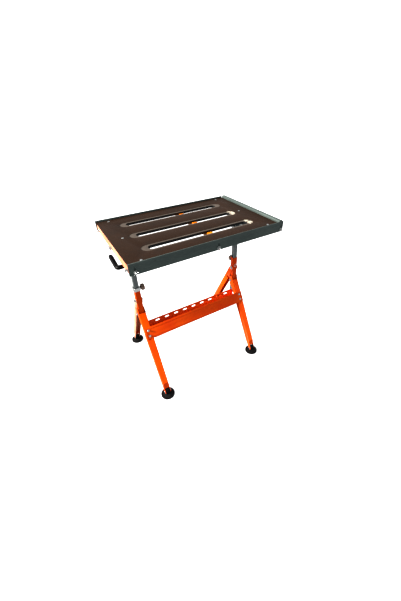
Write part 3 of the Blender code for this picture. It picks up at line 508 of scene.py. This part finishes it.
def prism_of(outline, start, end):
    """Closed solid from an outline in (x, y), between two heights."""
    bm = bmesh.new()
    face = bm.faces.new([bm.verts.new((x, y, start)) for x, y in outline])
    made = bmesh.ops.extrude_face_region(bm, geom=[face])["geom"]
    verts = [item for item in made if isinstance(item, bmesh.types.BMVert)]
    bmesh.ops.translate(bm, verts=verts, vec=(0.0, 0.0, end - start))
    bmesh.ops.recalc_face_normals(bm, faces=bm.faces)
    return bm


def ring_points(radius, count, turn=0.0):
    angles = [turn + 2 * math.pi * i / count for i in range(count)]
    return [(radius * math.cos(a), radius * math.sin(a)) for a in angles]


def add_to(bm, other, material=0):
    """Adds another closed shape to a piece, with a finish of its own."""
    for face in other.faces:
        face.material_index = material
    mesh = bpy.data.meshes.new("part")
    other.to_mesh(mesh)
    other.free()
    bm.from_mesh(mesh)
    bpy.data.meshes.remove(mesh)
    return bm


def stand_along(bm, axis, at, turn=0.0):
    """Turns a shape about its own +Z, points that along an axis and puts it in place."""
    aim = Vector(axis).to_track_quat("Z", "Y").to_matrix().to_4x4()
    move = Matrix.Translation(Vector(at)) @ aim @ Matrix.Rotation(turn, 4, "Z")
    bmesh.ops.transform(bm, matrix=move, verts=bm.verts)
    return bm


def hex_block(across, start, end, chamfer=0.5 * MM):
    """Hexagon nut or head with its corners taken off."""
    bm = prism_of(ring_points(across, 6), start, end)
    rims = [edge for edge in bm.edges if abs(edge.verts[0].co.z - edge.verts[1].co.z) < WELD]
    soften(bm, rims, chamfer, 2)
    return bm


def washer(radius, start, end):
    lip = min(0.3 * MM, (end - start) / 3)
    return lathe(
        [
            (0.0, start),
            (radius - lip, start),
            (radius, start + lip),
            (radius, end - lip),
            (radius - lip, end),
            (0.0, end),
        ],
        28,
    )


def thread(radius, start, end, pitch=1.25 * MM):
    """Threaded rod with a chamfered tip."""
    depth = 0.11 * radius
    turns = max(1, int((end - start) / pitch))
    profile = [(0.0, start)]
    for i in range(turns):
        z = start + (end - start) * i / turns
        profile.append((radius - depth, z))
        profile.append((radius, z + (end - start) * 0.5 / turns))
    profile.append((radius - depth, end))
    profile.append((0.0, end))
    return lathe(profile, 18)


def tube_run(stations, sides=20):
    """Round bar drawn through (point, radius) stations, closed at both ends."""
    bm = bmesh.new()
    made = bmesh.ops.create_circle(bm, cap_ends=True, segments=sides, radius=1.0)
    ring = made["verts"]
    edges = list({edge for vert in ring for edge in vert.link_edges})
    points = [Vector(point) for point, _radius in stations]
    last = Matrix.Identity(4)
    for i, (point, radius) in enumerate(stations):
        before = points[max(i - 1, 0)]
        after = points[min(i + 1, len(points) - 1)]
        aim = (after - before).to_track_quat("Z", "Y").to_matrix().to_4x4()
        size = Matrix.Diagonal((radius, radius, 1.0, 1.0))
        here = Matrix.Translation(point) @ aim @ size
        if i:
            made = bmesh.ops.extrude_edge_only(bm, edges=edges)["geom"]
            ring = [item for item in made if isinstance(item, bmesh.types.BMVert)]
            edges = [item for item in made if isinstance(item, bmesh.types.BMEdge)]
        bmesh.ops.transform(bm, matrix=here @ last.inverted(), verts=ring)
        last = here
    bmesh.ops.holes_fill(bm, edges=bm.edges, sides=0)
    bmesh.ops.recalc_face_normals(bm, faces=bm.faces)
    return bm


def reach(node, axis):
    """Lowest and highest distance of a CAD node along a direction."""
    spots = [vert.co.dot(Vector(axis)) for vert in frame["nodes"][node].data.vertices]
    return min(spots), max(spots)


# ---- hardware: bolts, screws and rivets ---------------------------------------------
THROUGH_BOLTS = {
    # node: (hex radius, washer radius, shank radius, head, head washer, nut, thread end)
    "leg_bolt_left": (6.5, 8.5, 4.0, 4.0, 1.5, 6.5, 2.0),
    "leg_bolt_right": (6.5, 8.5, 4.0, 4.0, 1.5, 6.5, 2.0),
    "pivot_bolt_left": (6.5, 11.0, 4.0, 4.0, 1.5, 6.5, 2.0),
    "pivot_bolt_right": (6.5, 11.0, 4.0, 4.0, 1.5, 6.5, 2.0),
    "hinge_bolt_left": (8.5, 10.0, 5.0, 6.0, 0.0, 7.0, 2.5),
    "hinge_bolt_right": (8.5, 10.0, 5.0, 6.0, 0.0, 7.0, 2.5),
    "guide_bolt_right": (6.5, 8.5, 4.0, 5.0, 0.0, 6.0, 2.0),
    "lock_stud": (6.5, 8.5, 4.0, 5.0, 0.0, 0.0, 12.5),
}


def through_bolt(node):
    """Hex bolt from its head at height 0 to its thread end, then laid along X."""
    across, flange, shank, head, pad, nut, tail = [value * MM for value in THROUGH_BOLTS[node]]
    low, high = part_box(node)
    length = high.x - low.x
    outward = 1.0 if low.x > 0 else -1.0
    start = low.x if outward > 0 else high.x
    bm = hex_block(across, 0.0, head)
    add_to(bm, lathe([(0.0, -0.05 * MM), (across * 0.72, 0.0), (across * 0.72, head), (0.0, head)]))
    if pad:
        add_to(bm, washer(flange, head, head + pad))
    seat = length - tail - nut - 1.5 * MM
    add_to(bm, lathe([(0.0, head), (shank, head), (shank, seat), (0.0, seat)], 20))
    add_to(bm, washer(flange, seat, seat + 1.5 * MM))
    if nut:
        add_to(bm, hex_block(across, seat + 1.5 * MM, seat + 1.5 * MM + nut * 0.68))
        crown = seat + 1.5 * MM + nut * 0.68
        top = seat + 1.5 * MM + nut
        profile = [(0.0, crown), (across * 0.80, crown), (across * 0.76, top - 0.4 * MM)]
        profile += [(across * 0.62, top), (0.0, top)]
        add_to(bm, lathe(profile))
    add_to(bm, thread(shank * 0.97, seat + 1.5 * MM, length))
    at = (start, (low.y + high.y) / 2, (low.z + high.z) / 2)
    stand_along(bm, (outward, 0.0, 0.0), at, math.radians(11 + 7 * len(node)))
    hand_over(node + "_hex", bm, body_with(node), [ZINC], [node])


def wing(side):
    """One curved ear of a wing screw, rising from its hub."""
    outline = [(3.0, 3.4), (6.0, 3.6), (8.9, 5.6), (10.7, 8.6), (10.6, 11.4), (9.0, 12.7)]
    outline += [(7.2, 11.8), (6.0, 9.8), (3.0, 9.2)]
    bm = prism_of([(x * MM, y * MM) for x, y in outline], -1.0 * MM, 1.0 * MM)
    soften(bm, corners(bm), 0.6 * MM, 3)
    upright = Matrix.Rotation(side, 4, "Z") @ Matrix.Rotation(math.pi / 2, 4, "X")
    bmesh.ops.transform(bm, matrix=upright, verts=bm.verts)
    return bm


def wing_screw(node, axis, order):
    """Washer, hub, two ears and threaded tail, turned as a hand would leave it."""
    low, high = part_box(node)
    index = AXES[axis]
    outward = Vector((0.0, 0.0, 0.0))
    outward[index] = 1.0 if (low + high)[index] > 0 else -1.0
    tip = high[index] if outward[index] > 0 else -low[index]
    tail = -low[index] if outward[index] > 0 else high[index]
    length = tip + tail
    rise = 13.5 * MM
    at = (low + high) / 2
    at[index] = outward[index] * (tip - rise)
    bm = washer(7.4 * MM, 0.0, 1.2 * MM)
    hub = [(0.0, 1.2), (5.2, 1.2), (5.2, 3.2), (4.3, 5.0), (3.9, 9.6), (3.3, 10.4), (0.0, 10.4)]
    add_to(bm, lathe([(r * MM, z * MM) for r, z in hub]))
    for side in (0.0, math.pi):
        add_to(bm, wing(side))
    add_to(bm, thread(2.9 * MM, rise - length, rise - 1.4 * MM))
    stand_along(bm, outward, at, math.radians(24.0 + 67.0 * order))
    hand_over(node + "_wing", bm, body_with(node), [ZINC], [node])


def domed_rivet(node):
    low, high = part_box(node)
    radius = (high.x - low.x) / 2
    rise = high.z - low.z
    profile = [(0.0, 0.0), (radius * 0.96, 0.0), (radius, rise * 0.16)]
    for i in range(1, 7):
        angle = math.radians(15 * i)
        profile.append((radius * 0.94 * math.cos(angle), rise * (0.16 + 0.84 * math.sin(angle))))
    bm = lathe(profile, 28)
    stand_along(bm, UP, ((low.x + high.x) / 2, (low.y + high.y) / 2, low.z))
    hand_over(node + "_dome", bm, body_with(node), [ZINC], [node])


def crossbar_screw(side, name):
    """Hex screw square to the sloping face of the crossbar."""
    node = "crossbar_screw_" + side + "_" + name
    upper = middle("crossbar_screw_" + side + "_upper")
    down = (middle("crossbar_screw_" + side + "_lower") - upper).normalized()
    outward = down.cross(Vector((1.0, 0.0, 0.0)))
    if outward.y > 0:
        outward = -outward
    low, high = reach(node, outward)
    seat = high - low - 4.5 * MM
    bm = hex_block(5.0 * MM, 0.0, 5.0 * MM)
    add_to(bm, lathe([(0.0, 0.0), (3.0 * MM, 0.0), (3.0 * MM, seat), (0.0, seat)], 16))
    add_to(bm, washer(6.4 * MM, seat, seat + 1.0 * MM))
    add_to(bm, hex_block(5.0 * MM, seat + 1.0 * MM, high - low))
    centre = middle(node)
    at = centre + outward * (low - centre.dot(outward))
    stand_along(bm, outward, at, math.radians(40 * len(name) + 15 * len(side)))
    hand_over(node + "_hex", bm, body_with(node), [ZINC], [node])


def fluted_knob(node, axis):
    """Cast hand screw with a scalloped rim, a boss and its screw."""
    low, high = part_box(node)
    index = AXES[axis]
    length = high[index] - low[index]
    body = 22.0 * MM
    neck = length - body
    bm = lathe([(0.0, 0.0), (5.1 * MM, 0.0), (5.1 * MM, neck), (0.0, neck)], 20)
    boss = [(0.0, neck), (8.4 * MM, neck), (8.6 * MM, neck + 3.2 * MM), (0.0, neck + 3.2 * MM)]
    add_to(bm, lathe(boss, 24))
    rim = [(0.0, 2.8), (12.0, 2.9), (15.2, 4.0), (16.8, 6.2), (17.0, 9.0), (17.0, 15.6)]
    rim += [(16.7, 18.4), (15.0, 20.6), (11.5, 21.4), (9.8, 20.6), (6.0, 20.2), (0.0, 20.2)]
    grip = lathe([(r * MM, neck + z * MM) for r, z in rim], 72)
    for vert in grip.verts:
        flat = math.hypot(vert.co.x, vert.co.y)
        if flat > 14.8 * MM:
            scallop = 0.5 + 0.5 * math.cos(9 * math.atan2(vert.co.y, vert.co.x))
            shrink = 1.0 - 0.10 * scallop**2
            vert.co.x *= shrink
            vert.co.y *= shrink
    add_to(bm, grip)
    screw_end = [(0.0, 19.9), (4.6, 19.9), (4.6, 21.4), (3.9, 22.0), (0.0, 22.0)]
    add_to(bm, lathe([(r * MM, neck + z * MM) for r, z in screw_end], 20), 1)
    at = (low + high) / 2
    at[index] = low[index]
    outward = Vector((0.0, 0.0, 0.0))
    outward[index] = 1.0
    stand_along(bm, outward, at, math.radians(20.0))
    hand_over(node + "_fluted", bm, body_with(node), [KNOB, ZINC], [node])


def clamp_lever():
    """Steel hub on the stud, bent rod and dipped grip with a rounded tip."""
    node = "lock_lever"
    low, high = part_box(node)
    hub = middle("lock_stud")
    y, z = hub.y, hub.z
    x = high.x
    elbow = low.x + 10.4 * MM
    bend = 13.0 * MM
    bm = stand_along(hex_block(9.2 * MM, 0.0, 11.0 * MM, 1.0 * MM), (-1, 0, 0), (x, y, z), 0.35)
    for face in bm.faces:
        face.material_index = 1
    add_to(bm, stand_along(washer(8.6 * MM, 11.0 * MM, 13.0 * MM), (-1, 0, 0), (x, y, z)), 1)
    stations = [((x - 9.0 * MM, y, z), 6.0 * MM), ((x - 15.0 * MM, y, z), 6.2 * MM)]
    stations += [((x - 16.0 * MM, y, z), 8.6 * MM), ((x - 18.0 * MM, y, z), 10.2 * MM)]
    for i in range(7):
        angle = math.radians(15 * i)
        centre = (elbow + bend, y + bend)
        spot = (
            centre[0] - bend * math.sin(angle),
            centre[1] - bend * math.cos(angle),
            z - 2.4 * MM * math.sin(angle),
        )
        stations.append((spot, 10.8 * MM))
    end = high.y - 2.0 * MM
    grip = [(0.3, 11.2), (0.6, 11.4), (0.88, 11.2), (0.95, 9.6), (0.99, 6.6), (1.0, 3.4)]
    start = y + bend
    for share, radius in grip:
        rise = z - 2.4 * MM + 13.0 * MM * share
        stations.append(((elbow, start + (end - start) * share, rise), radius * MM))
    add_to(bm, tube_run(stations, 24))
    hand_over("dipped_lever", bm, body_with(node), [GRIP, ZINC], [node])


def swivel_foot(node):
    """Moulded pad with a grooved crown, a tongue between the fork plates and its pin."""
    low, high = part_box(node)
    centre = (low + high) / 2
    radius = (high.x - low.x) / 2
    pin = high.z - PIN_DEPTH
    outer = radius / MM
    profile = [(0.0, 1.2), (outer - 9.0, 1.2), (outer - 7.5, 0.0), (outer - 1.6, 0.0)]
    profile += [(outer, 1.4), (outer, 6.6), (outer - 0.8, 8.2), (outer - 2.6, 8.9)]
    profile += [(outer - 6.0, 8.9), (outer - 6.8, 7.9), (outer - 9.4, 7.9), (outer - 10.2, 9.2)]
    profile += [(outer - 15.0, 10.6), (14.0, 12.4), (12.4, 13.6), (0.0, 13.6)]
    bm = lathe([(r * MM, z * MM) for r, z in profile], 56)
    stand_along(bm, UP, (centre.x, centre.y, 0.0))
    half = 12.6 * MM
    lift = pin + 18.5 * MM
    tongue = [(-11.0, 12.0 * MM), (-9.0, pin), (-8.6, lift - 6.0 * MM), (-5.0, lift)]
    tongue += [(5.0, lift), (8.6, lift - 6.0 * MM), (9.0, pin), (11.0, 12.0 * MM)]
    block = prism_of([(y * MM, z) for y, z in tongue], -half, half)
    soften(block, corners(block), 1.2 * MM, 3)
    quarter = Matrix(((0, 0, 1), (1, 0, 0), (0, 1, 0)))
    bmesh.ops.transform(block, matrix=quarter.to_4x4(), verts=block.verts)
    bmesh.ops.translate(block, verts=block.verts, vec=(centre.x, centre.y, 0.0))
    add_to(bm, block)
    wide = reach_of_pin(node)
    pinned = lathe(
        [
            (0.0, 0.0),
            (5.2 * MM, 0.2 * MM),
            (6.4 * MM, 1.4 * MM),
            (6.4 * MM, 2.8 * MM),
            (4.0 * MM, 2.8 * MM),
            (4.0 * MM, 2 * wide - 2.8 * MM),
            (6.0 * MM, 2 * wide - 2.8 * MM),
            (6.0 * MM, 2 * wide - 1.0 * MM),
            (3.6 * MM, 2 * wide),
            (0.0, 2 * wide),
        ],
        24,
    )
    stand_along(pinned, (1, 0, 0), (centre.x - wide, centre.y, pin))
    add_to(bm, pinned, 1)
    hand_over(node + "_moulded", bm, body_with(node), [RUBBER, ZINC], [node])


def toe_web(side, row):
    """Closes the face of a leg between its channel and the fork's mouth."""
    leg = row + "_leg_" + side
    foot = "foot_pad_" + row + "_" + side
    low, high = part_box(foot)
    pin = Vector(((low.x + high.x) / 2, (low.y + high.y) / 2, high.z - PIN_DEPTH))
    if row == "front":
        screw = "crossbar_screw_" + side
        down = middle(screw + "_lower") - middle(screw + "_upper")
    else:
        down = pin - middle("pivot_bolt_" + side)
    down.x = 0.0
    down.normalize()
    outward = down.cross(Vector((1.0, 0.0, 0.0)))
    if outward.z < 0:
        outward = -outward
    half = 13.9 * MM
    outline = [(-55.0, 15.8), (-50.0, 15.8), (-27.5, 9.9), (-22.0, 9.9), (-22.0, 8.2)]
    outline += [(-28.5, 8.2), (-50.5, 13.9), (-55.0, 13.9)]
    bm = prism_of([(s * MM, v * MM) for s, v in outline], -half, half)
    turn = Matrix((down, outward, down.cross(outward))).transposed().to_4x4()
    bmesh.ops.transform(bm, matrix=Matrix.Translation(pin) @ turn, verts=bm.verts)
    hand_over(leg + "_toe", bm, body_with(leg), [ORANGE])


def pinch_screw():
    """Bright washer round a painted head with a bright bar across it, on the right sleeve."""
    low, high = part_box("sleeve_right")
    at = ((low.x + high.x) / 2, low.y, high.z - 50.0 * MM)
    bm = washer(9.0 * MM, -1.0 * MM, 1.3 * MM)
    head = [(0.0, 1.3), (6.2, 1.3), (6.3, 2.4), (5.2, 4.0), (3.0, 5.0), (0.0, 5.3)]
    add_to(bm, lathe([(r * MM, z * MM) for r, z in head]), 1)
    bar = [(-5.0, -0.7), (5.0, -0.7), (5.0, 0.7), (-5.0, 0.7)]
    add_to(bm, prism_of([(x * MM, y * MM) for x, y in bar], 3.0 * MM, 5.4 * MM))
    stand_along(bm, (0.0, -1.0, 0.0), at, 0.6)
    hand_over("pinch_screw_right", bm, "stand", [ZINC, ORANGE])


def reach_of_pin(node):
    """Half the length of the pin through a foot, from the CAD node above its pad."""
    low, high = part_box(node)
    centre = (low + high) / 2
    pin = high.z - PIN_DEPTH
    spots = [
        abs(vert.co.x - centre.x)
        for vert in frame["nodes"][node].data.vertices
        if vert.co.z > pin - 7.0 * MM and abs(vert.co.y - centre.y) < 7.0 * MM
    ]
    return max(spots)


# ---- studio: camera, light and floor ------------------------------------------------
def direction(azimuth, elevation):
    """Unit vector from the middle of the table towards a place round it."""
    flat = math.cos(elevation)
    return Vector((math.sin(azimuth) * flat, -math.cos(azimuth) * flat, math.sin(elevation)))


def camera():
    data = bpy.data.cameras.new("camera")
    data.lens = CAMERA_LENS
    data.shift_x, data.shift_y = CAMERA_SHIFT
    obj = bpy.data.objects.new("camera", data)
    bpy.context.scene.collection.objects.link(obj)
    back = direction(CAMERA_AZIMUTH, CAMERA_ELEVATION)
    across = (-back).cross(UP).normalized()
    up = across.cross(-back).normalized()
    right = across * math.cos(CAMERA_ROLL) + up * math.sin(CAMERA_ROLL)
    top = up * math.cos(CAMERA_ROLL) - across * math.sin(CAMERA_ROLL)
    turn = Matrix((right, top, back)).transposed().to_4x4()
    obj.matrix_world = Matrix.Translation(CAMERA_AT) @ turn
    bpy.context.scene.camera = obj


def key_light():
    """Broad distant light from one side."""
    data = bpy.data.lights.new("key_light", "SUN")
    data.energy = KEY_STRENGTH
    data.angle = KEY_SOFTNESS
    data.color = KEY_COLOUR
    obj = bpy.data.objects.new("key_light", data)
    bpy.context.scene.collection.objects.link(obj)
    obj.rotation_mode = "QUATERNION"
    back = direction(KEY_AZIMUTH, KEY_ELEVATION)
    obj.rotation_quaternion = back.to_track_quat("Z", "Y")


def link(tree, source, output, target, entry):
    tree.links.new(source.outputs[output], target.inputs[entry])


def soft_sky():
    """White backdrop, light mostly from above, and a brighter sky in reflections only."""
    world = bpy.data.worlds.new("studio")
    bpy.context.scene.world = world
    world.use_nodes = True
    tree = world.node_tree
    backdrop = tree.nodes["Background"]
    backdrop.inputs["Color"].default_value = (1.0, 1.0, 1.0, 1.0)
    backdrop.inputs["Strength"].default_value = 1.2
    place = tree.nodes.new("ShaderNodeTexCoord")
    split = tree.nodes.new("ShaderNodeSeparateXYZ")
    level = tree.nodes.new("ShaderNodeMapRange")
    level.interpolation_type = "SMOOTHSTEP"
    level.inputs["From Min"].default_value = -0.25
    level.inputs["From Max"].default_value = 0.55
    level.inputs["To Min"].default_value = SKY_BELOW
    level.inputs["To Max"].default_value = SKY_ABOVE
    lamp = tree.nodes.new("ShaderNodeBackground")
    lamp.inputs["Color"].default_value = (0.92, 0.96, 1.0, 1.0)
    glare = tree.nodes.new("ShaderNodeBackground")
    glare.inputs["Color"].default_value = (1.0, 1.0, 1.0, 1.0)
    glare.inputs["Strength"].default_value = GLARE
    path = tree.nodes.new("ShaderNodeLightPath")
    gloss = tree.nodes.new("ShaderNodeMixShader")
    choice = tree.nodes.new("ShaderNodeMixShader")
    link(tree, place, "Generated", split, "Vector")
    link(tree, split, "Z", level, "Value")
    link(tree, level, "Result", lamp, "Strength")
    link(tree, path, "Is Camera Ray", choice, 0)
    link(tree, path, "Is Glossy Ray", gloss, 0)
    link(tree, lamp, 0, gloss, 1)
    link(tree, glare, 0, gloss, 2)
    link(tree, gloss, 0, choice, 1)
    link(tree, backdrop, 0, choice, 2)
    link(tree, choice, 0, tree.nodes["World Output"], "Surface")


def pale_floor():
    bm = bmesh.new()
    bmesh.ops.create_circle(bm, cap_ends=True, segments=96, radius=FLOOR_RADIUS)
    mesh = bpy.data.meshes.new("floor")
    bm.to_mesh(mesh)
    bm.free()
    floor = bpy.data.objects.new("floor", mesh)
    bpy.context.scene.collection.objects.link(floor)
    pale = Finish("pale_floor", Roughness=0.9, Emission_Strength=FLOOR_GLOW)
    pale.feed(pale.shader.inputs["Emission Color"], (1.0, 1.0, 1.0, 1.0))
    mesh.materials.append(pale.done(FLOOR_COLOUR))
    floor.visible_diffuse = False
    floor.visible_glossy = False


def studio():
    key_light()
    soft_sky()
    pale_floor()
    view = bpy.context.scene.view_settings
    view.view_transform = "Standard"
    view.look = "High Contrast"


# ---- tabletop -----------------------------------------------------------------------
def slotted_top():
    """Plate with rounded cut edges; its rims and slot walls have their own finish, the walls a
    near-black painted shade.
    """
    node = "top_plate"
    low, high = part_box(node)
    bm = copy_of(node)
    soften(bm, corners(bm), 0.6 * MM, 3)
    bmesh.ops.recalc_face_normals(bm, faces=bm.faces)
    for face in bm.faces:
        spot = face.calc_center_median()
        inside = low.x + 20 * MM < spot.x < high.x - 20 * MM
        if not inside:
            continue
        if face.normal.z > 0.5 and high.z - 2.2 * MM < spot.z < high.z - 0.15 * MM:
            face.material_index = 1
        elif abs(face.normal.z) < 0.5 and low.y + 20 * MM < spot.y < high.y - 20 * MM:
            face.material_index = 2
    hand_over("slotted_top", bm, "tabletop", [PLATE, RIM, WALL], [node])


ORANGE_FORMED = (
    "side_channel_left",
    "side_channel_right",
    "sleeve_left",
    "sleeve_right",
    "front_leg_left",
    "front_leg_right",
    "rear_leg_left",
    "rear_leg_right",
    "crossbar",
)

slotted_top()
for node in ORANGE_FORMED:
    # The left side channel and left rear leg take the pale copy of the orange coat: painted glare.
    coat = PAINTED_GLARE_ORANGE if node in ("side_channel_left", "rear_leg_left") else ORANGE
    refined(node, coat, 2.2 * MM)
# The centre brace takes the lighter copy of the orange coat: painted sunlight.
refined("centre_brace", SUNLIT_BRACE_ORANGE, 1.5 * MM)
# The front and back edge bars take the grey guide steel in place of their orange coat, a darker tone
# where they show through the rail slots: painted shade.
for node in ("rail_front", "rail_back", "rail_right", "edge_bar_front", "edge_bar_back"):
    refined(node, GUIDE, 1.0 * MM)
for node in ("tilt_plate_left", "tilt_plate_right"):
    refined(node, TUBE)
for node in ("inner_tube_left", "inner_tube_right"):
    refined(node, TUBE, 1.8 * MM)
refined("collar_left", ZINC, 2.0 * MM)

for node in THROUGH_BOLTS:
    through_bolt(node)
for order, place in enumerate(("left", "middle", "right")):
    wing_screw("front_rail_screw_" + place, "Y", order)
    wing_screw("back_rail_screw_" + place, "Y", order + 3)
for order, place in enumerate(("front", "middle", "back")):
    wing_screw("left_end_screw_" + place, "X", order + 6)
    wing_screw("right_rail_screw_" + place, "X", order + 9)
for side in ("left", "right"):
    for row in ("front", "middle", "back"):
        domed_rivet("rivet_" + side + "_" + row)
    for row in ("upper", "lower"):
        crossbar_screw(side, row)
    for row in ("front", "rear"):
        swivel_foot("foot_pad_" + row + "_" + side)
fluted_knob("height_knob_left", "X")
fluted_knob("height_knob_right", "Y")
clamp_lever()
for side in ("left", "right"):
    for row in ("front", "rear"):
        toe_web(side, row)
pinch_screw()

camera()
studio()

FINISH_OF = {
    "mill_steel": PLATE,
    "rail_steel": GUIDE,
    "orange_paint": ORANGE,
    "tube_steel": TUBE,
    "zinc": ZINC,
    "black_rubber": RUBBER,
    "black_grip": GRIP,
    "knob_metal": KNOB,
}
for row in frame["record"]["subparts"]:
    mesh = frame["nodes"][row["node"]].data
    mesh.materials.clear()
    mesh.materials.append(FINISH_OF[row["material_slot"]])
